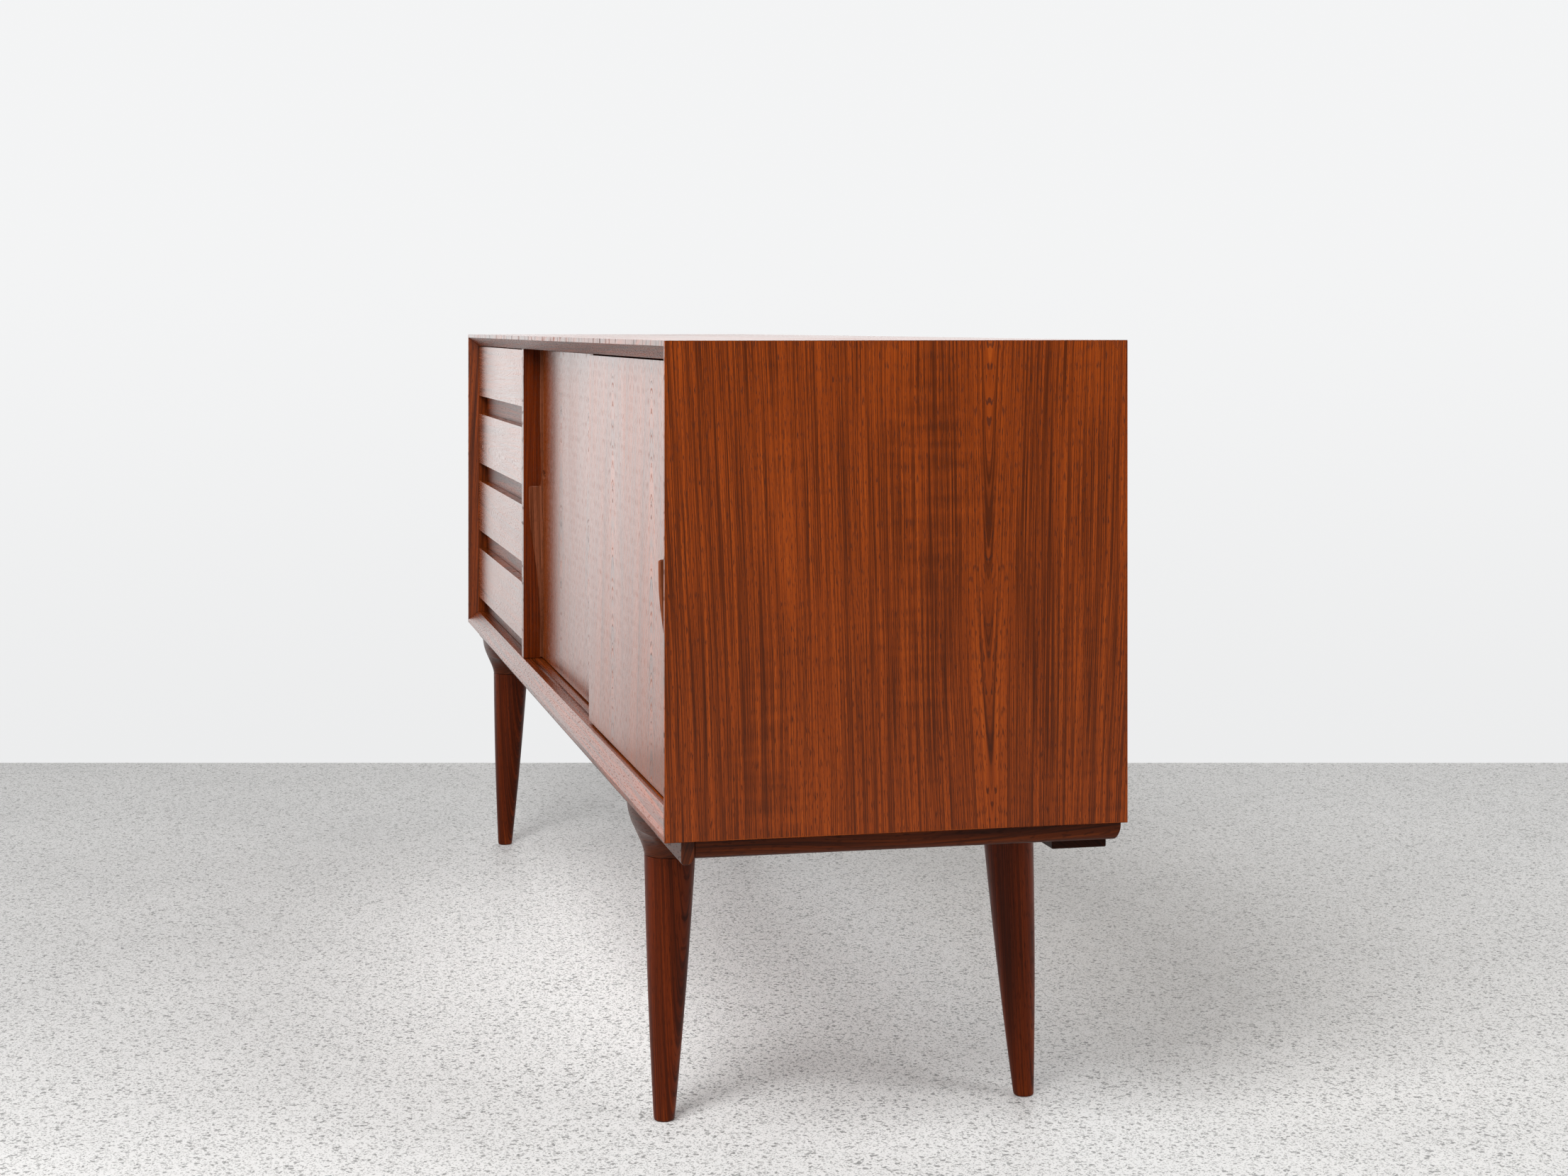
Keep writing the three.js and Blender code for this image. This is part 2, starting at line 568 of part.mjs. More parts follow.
const FRONT_COVE_TOP = FRAME_TOP - FRONT_RAIL.high - COVE_BELOW_RAIL;
const REAR_TOP = FRAME_TOP - REAR_RAIL.high - GAP;
const ENDS = {
  front: { ...FRONT_FOOT, shoulder: FRONT_SHOULDER, coveTop: FRONT_COVE_TOP, top: FRAME_TOP },
  rear: { ...REAR_FOOT, shoulder: REAR_SHOULDER, coveTop: REAR_TOP, top: REAR_TOP },
};
for (const [endName, end] of Object.entries(ENDS)) {
  legAndShoulder(`${endName}_left`, -1, end);
  legAndShoulder(`${endName}_right`, 1, end);
}

export default object;
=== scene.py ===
# The looks of a mid-century teak sideboard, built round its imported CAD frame. Metres, +Z up, front
# facing -Y, drawers on the -X side. Lengths written as n * MM are millimetres.
import json
import math

import bmesh
import bpy
from mathutils import Matrix, Vector


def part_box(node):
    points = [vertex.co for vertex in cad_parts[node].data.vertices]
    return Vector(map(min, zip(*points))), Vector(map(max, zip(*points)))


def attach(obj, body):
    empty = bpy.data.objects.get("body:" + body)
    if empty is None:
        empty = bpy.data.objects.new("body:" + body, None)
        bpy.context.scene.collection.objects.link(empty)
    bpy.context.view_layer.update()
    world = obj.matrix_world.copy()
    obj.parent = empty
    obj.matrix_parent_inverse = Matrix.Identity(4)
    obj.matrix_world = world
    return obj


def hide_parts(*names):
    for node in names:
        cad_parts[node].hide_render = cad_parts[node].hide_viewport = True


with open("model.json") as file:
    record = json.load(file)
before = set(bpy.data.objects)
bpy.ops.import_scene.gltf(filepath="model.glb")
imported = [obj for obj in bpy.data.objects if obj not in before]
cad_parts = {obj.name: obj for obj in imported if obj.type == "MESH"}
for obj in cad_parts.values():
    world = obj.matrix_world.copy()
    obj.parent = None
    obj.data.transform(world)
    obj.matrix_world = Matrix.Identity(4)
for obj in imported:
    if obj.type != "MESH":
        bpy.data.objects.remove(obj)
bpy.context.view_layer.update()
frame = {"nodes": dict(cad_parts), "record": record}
NODES = frame["nodes"]
BODY_OF = {node: body for body, nodes in frame["record"]["behaviour"]["bodies"].items() for node in nodes}
SCENE = bpy.context.scene
MM = 0.001


# ---- building node trees -----------------------------------------------------------------------
class Net:
    """Short calls that add nodes to one tree. A value is a number, a tuple or another node's socket."""

    def __init__(self, tree):
        self.tree = tree
        tree.nodes.clear()

    def node(self, kind, inputs=None, **settings):
        node = self.tree.nodes.new(kind)
        for name, value in settings.items():
            setattr(node, name, value)
        for key, value in (inputs or {}).items():
            if isinstance(value, bpy.types.NodeSocket):
                self.tree.links.new(value, node.inputs[key])
            else:
                node.inputs[key].default_value = value
        return node

    def math(self, operation, a, b=0.0, c=0.0):
        return self.node("ShaderNodeMath", {0: a, 1: b, 2: c}, operation=operation).outputs[0]

    def total(self, *terms):
        """The sum of (value, weight) pairs."""
        result = 0.0
        for value, weight in terms:
            result = self.math("MULTIPLY_ADD", value, weight, result)
        return result

    def vector(self, operation, a, b=(0.0, 0.0, 0.0)):
        return self.node("ShaderNodeVectorMath", {0: a, 1: b}, operation=operation).outputs[0]

    def split(self, vector):
        return tuple(self.node("ShaderNodeSeparateXYZ", {0: vector}).outputs)

    def join(self, x, y, z):
        return self.node("ShaderNodeCombineXYZ", {0: x, 1: y, 2: z}).outputs[0]

    def noise(self, vector, detail=2.0, rough=0.5, output=0, dimensions="3D"):
        inputs = {"Vector": vector, "Scale": 1.0, "Detail": detail, "Roughness": rough}
        return self.node("ShaderNodeTexNoise", inputs, noise_dimensions=dimensions).outputs[output]

    def step(self, value, low, high, to_low=0.0, to_high=1.0):
        """A smooth step from to_low at low to to_high at high."""
        inputs = {"Value": value, "From Min": low, "From Max": high, "To Min": to_low, "To Max": to_high}
        return self.node("ShaderNodeMapRange", inputs, interpolation_type="SMOOTHSTEP").outputs[0]

    def ramp(self, value, stops):
        node = self.node("ShaderNodeValToRGB", {0: value})
        elements = node.color_ramp.elements
        elements[0].position, elements[0].color = stops[0][0], (*stops[0][1], 1)
        elements[1].position, elements[1].color = stops[-1][0], (*stops[-1][1], 1)
        for position, colour in stops[1:-1]:
            elements.new(position).color = (*colour, 1)
        return node.outputs[0]

    def mix(self, factor, a, b):
        node = self.node("ShaderNodeMix", data_type="RGBA")
        for index, value in ((0, factor), (6, a), (7, b)):
            if isinstance(value, bpy.types.NodeSocket):
                self.tree.links.new(value, node.inputs[index])
            else:
                node.inputs[index].default_value = value if index == 0 else (*value, 1)
        return node.outputs[2]


def new_material(name):
    material = bpy.data.materials.new(name)
    material.use_nodes = True
    return material, Net(material.node_tree)


def finish_material(net, surface):
    net.node("ShaderNodeOutputMaterial", {"Surface": surface.outputs[0]})


# ---- wood --------------------------------------------------------------------------------------
FLOAT, VECTOR = "NodeSocketFloat", "NodeSocketVector"
GRAIN_INPUTS = {"Place": VECTOR, "Pith": VECTOR, "Seed": VECTOR, "Lean": FLOAT, "Waver": FLOAT}

# How often the growth rings swing, per metre across, through and along, and how far, in metres
SLOW_BEND, SLOW_SWING = (4.0, 4.0, 1.3), 0.034
QUICK_BEND, QUICK_SWING = (38.0, 38.0, 9.0), 0.0016
CURL_WAVES, CURL_PATCHES, CLOUDS = (16.0, 16.0, 88.0), (9.0, 9.0, 4.0), (7.0, 7.0, 2.4)
# Streaks that follow the rings: changes per metre across and along, detail, roughness and shift
STREAKS = {
    "Broad": (34.0, 0.8, 2.0, 0.55, 0.0),
    "Fine": (300.0, 1.6, 2.0, 0.6, 11.0),
    "Fibre": (1300.0, 6.0, 2.0, 0.6, 23.0),
    "Line": (85.0, 0.5, 1.0, 0.4, 37.0),
    "Line groups": (40.0, 1.5, 1.0, 0.5, 51.0),
    "Pores": (1250.0, 95.0, 1.0, 0.5, 67.0),
}
# A line's half width in its noise, and where groups of lines, pores and patches of curl fade in
LINE_HALF, LINE_GROUP_RISE, PORE_RISE, CURL_RISE = 0.035, (0.36, 0.62), (0.58, 0.72), (0.5, 0.68)
PORES_IN_FINE = (0.25, 0.62, 0.35, 1.0)  # pores are fewer where the fine streaks are dark
MIDDLE = 0.5  # mean value of a noise


def spread(net, place, seed, scale):
    return net.vector("ADD", net.vector("MULTIPLY", place, scale), seed)


def bend(net, place, seed, waver):
    """The place, moved as the growth rings wander."""
    def warp(scale, amount):
        noise = net.noise(spread(net, place, seed, scale), 1.0, output=1)
        swing = net.vector("SUBTRACT", noise, (MIDDLE, MIDDLE, MIDDLE))
        return net.vector("MULTIPLY", swing, (amount, amount, 0.0))

    slow = net.vector("MULTIPLY", warp(SLOW_BEND, SLOW_SWING), net.join(waver, waver, 0.0))
    return net.vector("ADD", net.vector("ADD", place, slow), warp(QUICK_BEND, QUICK_SWING))


def growth_ring(net, place, pith, lean):
    """The radius of the growth ring that a point is in, and how far along the grain it is."""
    across, through, along = net.split(net.vector("SUBTRACT", place, pith))
    square = net.math("MULTIPLY_ADD", across, across, net.math("MULTIPLY", through, through))
    return net.math("SUBTRACT", net.math("SQRT", square), net.math("MULTIPLY", along, lean)), along


def build_grain_group():
    """Growth rings round a pith line, as a cut surface shows them. Place is (across, through, along)."""
    tree = bpy.data.node_groups.new("wood_grain", "ShaderNodeTree")
    net = Net(tree)
    for name, kind in GRAIN_INPUTS.items():
        tree.interface.new_socket(name, in_out="INPUT", socket_type=kind)
    given = tree.nodes.new("NodeGroupInput").outputs
    place, seed = given["Place"], given["Seed"]
    ring, along = growth_ring(net, bend(net, place, seed, given["Waver"]), given["Pith"], given["Lean"])
    seed_x, seed_y, _ = net.split(seed)

    def streak(kind):
        per_metre, per_metre_along, detail, rough, shift = STREAKS[kind]
        u = net.math("MULTIPLY_ADD", ring, per_metre, net.math("ADD", seed_x, shift))
        v = net.math("MULTIPLY_ADD", along, per_metre_along, seed_y)
        return net.noise(net.join(u, v, 0.0), detail, rough, dimensions="2D")

    fine = streak("Fine")
    off_line = net.math("ABSOLUTE", net.math("SUBTRACT", streak("Line"), MIDDLE))
    curl = net.math("SUBTRACT", net.noise(spread(net, place, seed, CURL_WAVES), 1.0), MIDDLE)
    results = {
        "Broad": streak("Broad"),
        "Fine": fine,
        "Fibre": streak("Fibre"),
        "Line": net.math("MULTIPLY", net.step(off_line, 0.0, LINE_HALF, 1.0, 0.0),
                         net.step(streak("Line groups"), *LINE_GROUP_RISE)),
        "Pores": net.math("MULTIPLY", net.step(streak("Pores"), *PORE_RISE),
                          net.step(fine, *PORES_IN_FINE)),
        "Curl": net.math("MULTIPLY", curl, net.step(net.noise(spread(net, place, seed, CURL_PATCHES), 1.0),
                                                    *CURL_RISE)),
        "Cloud": net.noise(spread(net, place, seed, CLOUDS), 2.0),
        "Ring": ring,
    }
    output = tree.nodes.new("NodeGroupOutput")
    for name, value in results.items():
        tree.interface.new_socket(name, in_out="OUTPUT", socket_type=FLOAT)
        tree.links.new(value, output.inputs[name])
    return tree


GRAIN = build_grain_group()

# Dark, middle and light tones of each timber, linear
VENEER = ((0.070, 0.0120, 0.0012), (0.208, 0.0340, 0.0024), (0.345, 0.0670, 0.0050))
SOLID = ((0.046, 0.0070, 0.0009), (0.102, 0.0140, 0.0014), (0.176, 0.0300, 0.0034))
FRAME = ((0.036, 0.0066, 0.0010), (0.082, 0.0145, 0.0018), (0.140, 0.0310, 0.0048))
DIVIDER_TONES = ((0.055, 0.0085, 0.0010), (0.130, 0.0180, 0.0014), (0.220, 0.0380, 0.0028))
FRONT_TONES = ((0.102, 0.0190, 0.0016), (0.246, 0.0455, 0.0028), (0.390, 0.0840, 0.0058))
STILE_TONES = ((0.085, 0.0220, 0.0080), (0.185, 0.0520, 0.0220), (0.300, 0.0950, 0.0430))
BEECH = ((0.430, 0.2300, 0.0950), (0.560, 0.3350, 0.1600), (0.660, 0.4300, 0.2250))
PLY = ((0.350, 0.1850, 0.0750), (0.470, 0.2700, 0.1200), (0.560, 0.3500, 0.1700))
TONE_STOPS = (0.30, 0.46, 0.80)  # the dark, middle and light tones' places on the ramp
SHADE = 0.42  # pores, growth lines and edges, as a share of the dark tone
SEED_STEPS = (7.31, 3.77, 5.13)

# How much each part of the grain moves the tone
BROAD_SHARE, FINE_SHARE, FIBRE_SHARE, CLOUD_SHARE, CURL_SHARE = 0.20, 0.46, 0.66, 0.08, 0.16
LINE_SHADE, PORE_SHADE = 0.55, 0.55
# A growth ring's fine dark arch: half its width, how long it is, how softly its tip ends, its strength
ARCH_HALF, ARCH_LONG, ARCH_SOFT, ARCH_END, ARCH_SHADE = 1.9 * MM, 110 * MM, 4 * MM, 3 * MM, 0.75
# Distances from a board's edge between which its darkening, and its pale rim of wear and painted highlight,
# fade out
EDGE_SHADE, EDGE_SHADE_REACH = 0.15, (0.4 * MM, 2.2 * MM)
EDGE_WEAR_HIGHLIGHT_REACH, WEAR_HIGHLIGHT_PATCHES = (0.15 * MM, 0.9 * MM), (0.35, 0.65)
SCUFF_STREAKS, SCUFF_LIGHT = (0.48, 0.62), 0.45
# How much each part of the grain adds to the roughness, and the relief of the fibres and the pores
ROUGH_FIBRE, ROUGH_PORES, ROUGH_CLOUD, ROUGH_WEAR = 0.10, 0.22, 0.10, 0.15
RELIEF_FIBRE, RELIEF_DEEP, RELIEF_STRENGTH = 0.35, 0.09 * MM, 0.55
WOOD_IOR = 1.5


def grain_place(net, grain, leaf):
    """(across, through, along) for a grain along that axis. leaf is the (first, last) x of one leaf of
    veneer, which repeats side by side."""
    x, y, z = net.split(net.node("ShaderNodeTexCoord").outputs["Object"])
    if leaf:
        x = net.math("SUBTRACT", net.math("WRAP", x, leaf[1], leaf[0]), leaf[0])
    return net.join(*{"X": (z, y, x), "Y": (z, x, y), "Z": (y, x, z)}[grain])


def edge_distance(net, box):
    """How far a point on a board's surface is from the nearest edge of that board."""
    place = net.node("ShaderNodeTexCoord").outputs["Object"]
    low, high = box
    inside = net.vector("MINIMUM", net.vector("SUBTRACT", place, tuple(low)),
                        net.vector("SUBTRACT", tuple(high), place))
    x, y, z = net.split(inside)
    nearer, further = net.math("MINIMUM", x, y), net.math("MAXIMUM", x, y)
    return net.math("MAXIMUM", nearer, net.math("MINIMUM", further, z))


def darker(tones, share):
    return tuple(tuple(share * value for value in tone) for tone in tones)


def object_height(net):
    return net.split(net.node("ShaderNodeTexCoord").outputs["Object"])[2]


def clean_colour(net, part, tones, shade, figure, curl, pore):
    """The colour of wood with no wear. The last term keeps its mean the same for any figure."""
    tone = net.total((part["Broad"], BROAD_SHARE * figure), (part["Fine"], FINE_SHARE),
                     (part["Fibre"], FIBRE_SHARE), (part["Cloud"], CLOUD_SHARE),
                     (part["Curl"], CURL_SHARE * curl), (MIDDLE, 0.60 - BROAD_SHARE * figure))
    tone = net.math("SUBTRACT", tone, 0.50)
    colour = net.ramp(tone, list(zip(TONE_STOPS, tones)))
    colour = net.mix(net.math("MULTIPLY", part["Line"], LINE_SHADE * figure), colour, shade)
    return net.mix(net.math("MULTIPLY", part["Pores"], PORE_SHADE * pore), colour, shade)


def draw_arch(net, part, colour, shade, ring, height):
    """Darkens one growth ring, up to a tip at that height."""
    off = net.math("ABSOLUTE", net.math("SUBTRACT", part["Ring"], ring))
    along = object_height(net)
    fade = net.math("MULTIPLY", net.step(along, height - ARCH_LONG, height - ARCH_SOFT),
                    net.step(along, height, height + ARCH_END, 1.0, 0.0))
    arch = net.math("MULTIPLY", net.step(off, 0.0, ARCH_HALF, 1.0, 0.0), fade)
    return net.mix(net.math("MULTIPLY", arch, ARCH_SHADE), colour, shade)


def wear_and_highlight_edges(net, part, colour, shade, light, box, rim_wear_highlight):
    """Colour and wear of a board that is darker near its edges, and pale on them in patches: partly wear,
    partly a painted highlight where the arris catches light.
    """
    near = edge_distance(net, box)
    patch = net.step(part["Cloud"], *WEAR_HIGHLIGHT_PATCHES)
    colour = net.mix(net.step(near, *EDGE_SHADE_REACH, EDGE_SHADE, 0.0), colour, shade)
    # the pale rim is part wear, part painted highlight where the arris catches the light
    wear = net.math("MULTIPLY", net.step(near, *EDGE_WEAR_HIGHLIGHT_REACH, rim_wear_highlight, 0.0), patch)
    return net.mix(wear, colour, light), wear


def scuff_foot(net, part, colour, light, heights):
    """Colour and wear of a leg that is scuffed between the floor and those heights."""
    wear = net.math("MULTIPLY", net.step(object_height(net), *heights, 1.0, 0.0),
                    net.step(part["Fine"], *SCUFF_STREAKS))
    return net.mix(net.math("MULTIPLY", wear, SCUFF_LIGHT), colour, light), wear


def wood(name, grain, tones, seed, pith=(0.3, 0.2, 0.0), lean=0.02, waver=1.0, leaf=None, box=None,
         gloss=0.34, shine=0.28, figure=1.0, curl=1.0, pore=1.0, rim_wear_highlight=0.25, scuff=None, tips=()):
    """Satin wood. One grain gives its colour, its roughness and its relief. tips are (ring, height) pairs
    of growth rings that show as fine dark arches."""
    material, net = new_material(name)
    group = net.node("ShaderNodeGroup", {}, node_tree=GRAIN)
    seeds = tuple(seed * step for step in SEED_STEPS)
    for key, value in {"Pith": pith, "Seed": seeds, "Lean": lean, "Waver": waver}.items():
        group.inputs[key].default_value = value
    net.tree.links.new(grain_place(net, grain, leaf), group.inputs["Place"])
    part = group.outputs
    dark, _, light = tones
    shade = tuple(SHADE * value for value in dark)

    colour, wear = clean_colour(net, part, tones, shade, figure, curl, pore), 0.0
    for ring, height in tips:
        colour = draw_arch(net, part, colour, shade, ring, height)
    if box:
        colour, wear = wear_and_highlight_edges(net, part, colour, shade, light, box, rim_wear_highlight)
    if scuff:
        colour, wear = scuff_foot(net, part, colour, light, scuff)
    rough = net.total((part["Fibre"], ROUGH_FIBRE), (part["Pores"], ROUGH_PORES),
                      (part["Cloud"], ROUGH_CLOUD), (wear, ROUGH_WEAR))
    rough = net.math("ADD", rough, gloss - 0.10)
    height = net.math("SUBTRACT", net.math("MULTIPLY", part["Fibre"], RELIEF_FIBRE), part["Pores"])
    bump = net.node("ShaderNodeBump", {"Strength": RELIEF_STRENGTH, "Distance": RELIEF_DEEP * pore,
                                       "Height": height})
    finish_material(net, net.node("ShaderNodeBsdfPrincipled", {
        "Base Color": colour, "Roughness": rough, "Normal": bump.outputs[0], "IOR": WOOD_IOR,
        "Specular IOR Level": shine}))
    return material


# ---- meshes ------------------------------------------------------------------------------------
def cad_copy(node):
    """A bmesh of a CAD node, with its doubled points merged."""
    mesh = bmesh.new()
    mesh.from_mesh(NODES[node].data)
    bmesh.ops.remove_doubles(mesh, verts=mesh.verts, dist=0.002 * MM)
    return mesh


def soften(mesh, width, segments=2, least=25.0):
    """Rounds over the edges that turn more than `least` degrees."""
    bmesh.ops.recalc_face_normals(mesh, faces=mesh.faces)
    sharp = [e for e in mesh.edges if e.is_manifold and e.calc_face_angle(0.0) > math.radians(least)]
    bmesh.ops.bevel(mesh, geom=sharp, offset=width, offset_type="OFFSET", segments=segments,
                    profile=0.5, affect="EDGES", clamp_overlap=True)
    return mesh


def loft(rings):
    """A closed skin through rings of equally many points, stacked one after another."""
    mesh = bmesh.new()
    rows = [[mesh.verts.new(point) for point in ring] for ring in rings]
    count = len(rows[0])
    for low, high in zip(rows, rows[1:]):
        for i in range(count):
            j = (i + 1) % count
            mesh.faces.new((low[i], low[j], high[j], high[i]))
    mesh.faces.new(rows[0][::-1])
    mesh.faces.new(rows[-1])
    bmesh.ops.recalc_face_normals(mesh, faces=mesh.faces)
    return mesh


def prism(outline, axis, start, end):
    """An outline swept along an axis: (y, z) points along X, (x, z) points along Y."""
    def place(point, distance):
        a, b = point
        return (distance, a, b) if axis == "X" else (a, distance, b)
    return loft([[place(point, distance) for point in outline] for distance in (start, end)])


def join(mesh, other):
    """Adds the other bmesh's skin to mesh."""
    spare = bpy.data.meshes.new("spare")
    other.to_mesh(spare)
    other.free()
    mesh.from_mesh(spare)
    bpy.data.meshes.remove(spare)
    return mesh


def block(low, high):
    x0, y0, z0 = low
    x1, y1, z1 = high
    return prism([(y0, z0), (y1, z0), (y1, z1), (y0, z1)], "X", x0, x1)


def to_object(name, mesh, smooth_to=40.0):
    data = bpy.data.meshes.new(name)
    mesh.to_mesh(data)
    mesh.free()
    data.shade_smooth()
    data.set_sharp_from_angle(angle=math.radians(smooth_to))
    made = bpy.data.objects.new(name, data)
    SCENE.collection.objects.link(made)
    return made


def carve(piece, cutter):
    """Cuts the cutter's shape out of the piece for good."""
    cut = piece.modifiers.new("carve", "BOOLEAN")
    cut.operation, cut.solver, cut.object = "DIFFERENCE", "EXACT", cutter
    graph = bpy.context.evaluated_depsgraph_get()
    carved = bpy.data.meshes.new_from_object(piece.evaluated_get(graph))
    piece.modifiers.clear()
    old = piece.data
    piece.data = carved
    bpy.data.meshes.remove(old)
    piece.data.shade_smooth()
    piece.data.set_sharp_from_angle(angle=math.radians(40.0))


def dress(piece, node, material):
    """The piece stands for that CAD node and rides on its body."""
    piece.data.materials.clear()
    piece.data.materials.append(material)
    weighted = piece.modifiers.new("even_faces", "WEIGHTED_NORMAL")
    weighted.keep_sharp = True
    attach(piece, BODY_OF[node])
    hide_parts(node)
    return piece


def board(node, material, edge=0.5 * MM):
    return dress(to_object(f"{node}_wood", soften(cad_copy(node), edge)), node, material)


# ---- carcase and inside ------------------------------------------------------------------------
RIGHT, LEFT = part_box("right_gable")[1].x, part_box("left_gable")[0].x
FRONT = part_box("right_gable")[0].y
TOP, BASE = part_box("top_panel")[1].z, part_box("bottom_panel")[0].z


def build_gables():
    right = wood("veneer_right_gable", "Z", VENEER, 1.0, (FRONT + 0.318, RIGHT - 0.006, 0.0), 0.030,
                 box=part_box("right_gable"), gloss=0.30, shine=0.20, figure=0.8, pore=1.4, rim_wear_highlight=0.7)
    left = wood("veneer_left_gable", "Z", VENEER, 2.0, (FRONT + 0.15, LEFT + 0.008, 0.0), -0.026,
                box=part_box("left_gable"), gloss=0.30, shine=0.22)
    board("right_gable", right, 0.3 * MM)
    board("left_gable", left, 0.3 * MM)


def build_top_and_bottom():
    top = wood("veneer_top", "X", VENEER, 3.0, (TOP - 0.008, FRONT + 0.26, 0.0), 0.020,
               box=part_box("top_panel"), gloss=0.26, figure=0.8, curl=0.3, pore=0.2, rim_wear_highlight=0.1)
    bottom = wood("veneer_bottom", "X", VENEER, 4.0, (BASE + 0.1, FRONT + 0.2, 0.0), 0.012,
                  box=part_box("bottom_panel"), gloss=0.26, curl=0.3, pore=0.4, rim_wear_highlight=0.15)
    board("top_panel", top, 0.3 * MM)
    board("bottom_panel", bottom, 0.6 * MM)


def build_inside():
    divider = wood("veneer_divider", "Z", DIVIDER_TONES, 5.0, (0.4, -0.3, 0.0), 0.01, gloss=0.26, shine=0.22)
    partition = wood("veneer_partition", "Z", VENEER, 6.0, (0.3, 0.29, 0.0), 0.012, box=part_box("partition"))
    shelves = wood("veneer_shelves", "X", VENEER, 7.0, (0.55, 0.05, 0.0), 0.012)
    back = wood("plywood_back", "X", PLY, 8.0, (0.5, 0.24, 0.0), 0.03, gloss=0.55, figure=0.6)
    board("divider", divider, 0.8 * MM)
    board("partition", partition)
    board("left_shelf", shelves)
    board("right_shelf", shelves)
    board("back_panel", back, 0.4 * MM)


# ---- drawers -----------------------------------------------------------------------------------
def build_drawers():
    low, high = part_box("drawer_1_front")
    fronts = wood("veneer_drawer_fronts", "X", FRONT_TONES, 9.0, (high.z - 0.16, low.y + 0.01, 0.0), 0.02,
                  gloss=0.20, shine=0.20, figure=1.2, curl=0.2, pore=0.3)
    rails = wood("drawer_rails", "X", VENEER, 10.0, (0.3, 0.1, 0.0), 0.01, gloss=0.36, shine=0.16)
    runners = wood("runners", "Y", BEECH, 11.0, (0.9, 0.2, 0.0), 0.01, gloss=0.5, figure=0.5)
    sides = wood("drawer_sides", "Y", BEECH, 12.0, (0.9, -0.6, 0.0), 0.015, gloss=0.48, figure=0.5)
    backs = wood("drawer_backs", "X", BEECH, 13.0, (0.9, 0.6, 0.0), 0.015, gloss=0.48, figure=0.5)
    bottoms = wood("drawer_bottoms", "X", PLY, 14.0, (0.2, 0.2, 0.0), 0.03, gloss=0.5, figure=0.5)
    for number in range(1, 5):
        board(f"drawer_{number}_front", fronts, 0.6 * MM)
        board(f"drawer_rail_{number}", rails, 0.6 * MM)
        board(f"drawer_{number}_back", backs, 0.8 * MM)
        board(f"drawer_{number}_bottom", bottoms, 0.3 * MM)
        for side in ("left", "right"):
            board(f"drawer_{number}_{side}_side", sides, 0.8 * MM)
            board(f"runner_{number}_{side}", runners, 0.6 * MM)


# ---- sliding doors and their handles -----------------------------------------------------------
FLOOR_TOP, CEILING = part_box("bottom_panel")[1].z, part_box("top_panel")[0].z
DOOR_BOTTOM, DOOR_TOP = FLOOR_TOP + 2.5 * MM, CEILING - 2 * MM
DOOR_THICK = 14 * MM
TONGUE_HALF = 2.3 * MM
TONGUE_ROOT = 1 * MM  # how far a stile's tongues run into it
STILE = 21 * MM
STILE_GAP = 0.3 * MM
STILE_PROUD = 2.6 * MM  # how far the arris of a stile stands out, away from its handle
STRIP_PROUD = 0.3 * MM  # how far its flat stands out
LIP_ARRIS = 3.2 * MM
HANDLE_LONG = 212 * MM
HANDLE_TOP = {"left": TOP - 206.6 * MM, "right": TOP - 203 * MM}
HANDLE_OUT = {"left": 18.5 * MM, "right": 22 * MM}
# In from the door's outer edge, out from its face, and up from the lip
SCOOP_IN, SCOOP_OUT, SCOOP_UP = 24 * MM, 5.65 * MM, 16 * MM
SCOOP_HALF = (22 * MM, 10 * MM, 8.2 * MM)
DOOR_LEAF = 0.247  # the width of one leaf of the doors' veneer
DOOR_PITH, DOOR_LEAN, DOOR_WAVER = 25 * MM, -0.12, 0.12  # how deep the pith lies, and how it runs
ARCH_TIPS = (0.690, 0.541, 0.466)  # heights of the arches in each leaf


def door_section(face, z_range):
    """(y, z) outline of a door: a board with a tongue along its top and another along its bottom."""
    low, high = z_range
    middle, back = face + DOOR_THICK / 2, face + DOOR_THICK
    near, far = middle - TONGUE_HALF, middle + TONGUE_HALF
    return [(face, DOOR_BOTTOM), (near, DOOR_BOTTOM), (near, low), (far, low), (far, DOOR_BOTTOM),
            (back, DOOR_BOTTOM), (back, DOOR_TOP), (far, DOOR_TOP), (far, high), (near, high),
            (near, DOOR_TOP), (face, DOOR_TOP)]


def scoop_cutter(edge, inward, face, handle_top):
    """A long hollow above the lip, for a fingertip."""
    centre = Vector((edge + inward * SCOOP_IN, face - SCOOP_OUT, handle_top + SCOOP_UP))
    mesh = bmesh.new()
    bmesh.ops.create_icosphere(mesh, subdivisions=5, radius=1.0)
    mesh.transform(Matrix.Translation(centre) @ Matrix.Diagonal((*SCOOP_HALF, 1.0)))
    return to_object("scoop_cutter", mesh)


# Share of the handle's length below its flat top, share of how far the lip stands out
LIP = ((0.0, 1.0), (0.16, 0.96), (0.33, 0.76), (0.5, 0.47), (0.66, 0.27), (1.0, 0.0))
# Height above the lip's flat top, and how far the stile's arris stands out there, mm
ABOVE_LIP = ((0.1, 4.2), (0.7, 3.2), (2, 2.2), (4, 1.4), (8, 0.8), (21, 0.8), (45, 1.7), (84, 2.6))
# The same for the lip's rounded upper edge: depth below its top, and how far short it falls there, mm
LIP_EDGE = ((1.1, 0.5), (0.4, 1.6), (0.0, 3.4))
LIP_STEPS, LIP_SLOPE = 44, 2.0 * MM
FLANK_STEPS, CORNER_STEPS = 14, 6


def lip_share(t):
    """A smooth curve through LIP."""
    times = [point[0] for point in LIP]
    index = max(i for i in range(len(LIP) - 1) if t >= times[i] or i == 0)
    before, after = max(index - 1, 0), min(index + 2, len(LIP) - 1)
    p0, p1, p2, p3 = LIP[before][1], LIP[index][1], LIP[index + 1][1], LIP[after][1]
    s = (t - times[index]) / (times[index + 1] - times[index])
    square, cube = 2 * p0 - 5 * p1 + 4 * p2 - p3, 3 * p1 - p0 - 3 * p2 + p3
    return (2 * p1 + (p2 - p0) * s + square * s**2 + cube * s**3) / 2


